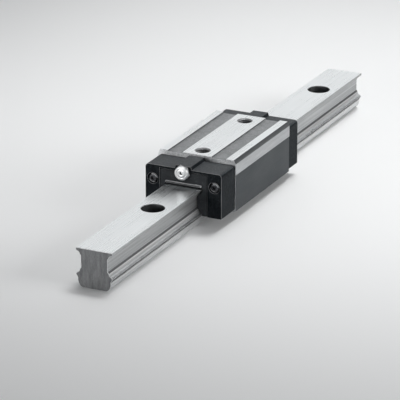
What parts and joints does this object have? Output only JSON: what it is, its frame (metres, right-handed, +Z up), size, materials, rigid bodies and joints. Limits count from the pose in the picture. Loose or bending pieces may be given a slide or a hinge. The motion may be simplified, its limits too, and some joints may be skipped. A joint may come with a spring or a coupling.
{
  "type": "linear guide carriage",
  "caption": "Ball-bearing carriage sliding on a counterbored profile rail, with plastic end caps, wiper seals and an end grease nipple.",
  "frame": {"origin": "middle of the rail's length, on the centreline of the face it is bolted down by", "axes": "+Y along the rail, away from the grease nipple; +Z up, out of the carriage's mounting face; +X across the rail"},
  "size_m": [0.048, 0.335, 0.0356],
  "materials": {
    "ground_steel": "ground lengthwise, light oil film",
    "carriage_steel": "ground lands, drawn dark grey sides and grooves",
    "hardened_steel": "hardened and ground raceways",
    "ball_steel": "polished bearing steel",
    "nipple_metal": "bright zinc plate",
    "spring_steel": "drawn spring wire",
    "cap_plastic": "fine moulded grain",
    "guide_plastic": "smooth moulded",
    "seal_rubber": "smooth nitrile rubber",
    "screw_steel": "black oxide"
  },
  "bodies": {
    "rail": {"rail": "ground_steel"},
    "carriage": {"carriage_block": "carriage_steel", "front_end_cap": "cap_plastic", "rear_end_cap": "cap_plastic", "front_end_seal": "seal_rubber", "rear_end_seal": "seal_rubber", "ball_circuit_upper_left": "ball_steel", "ball_circuit_lower_left": "ball_steel", "ball_circuit_upper_right": "ball_steel", "ball_circuit_lower_right": "ball_steel", "return_tube_upper_left": "guide_plastic", "return_tube_lower_left": "guide_plastic", "return_tube_upper_right": "guide_plastic", "return_tube_lower_right": "guide_plastic", "raceway_insert_left": "hardened_steel", "raceway_insert_right": "hardened_steel", "ball_retainer_left": "guide_plastic", "ball_retainer_right": "guide_plastic", "bottom_seal_left": "seal_rubber", "bottom_seal_right": "seal_rubber", "front_ball_guide_left": "guide_plastic", "front_ball_guide_right": "guide_plastic", "rear_ball_guide_left": "guide_plastic", "rear_ball_guide_right": "guide_plastic", "front_cap_screw_left": "screw_steel", "front_cap_screw_right": "screw_steel", "rear_cap_screw_left": "screw_steel", "rear_cap_screw_right": "screw_steel", "rear_port_plug": "screw_steel", "grease_nipple": "nipple_metal", "nipple_spring": "spring_steel"},
    "check_ball": {"nipple_check_ball": "ball_steel"}
  },
  "joints": [
    {"name": "carriage_slide", "type": "slide", "parent": "rail", "child": "carriage", "axis": [0, 1, 0], "range_m": [-0.1, 0.1]},
    {"name": "check_ball_travel", "type": "slide", "parent": "carriage", "child": "check_ball", "axis": [0, 1, 0], "range_m": [0, 0.0008], "stiffness_N_per_m": 200, "springref_m": -0.0005, "deforming": ["nipple_spring"]}
  ]
}
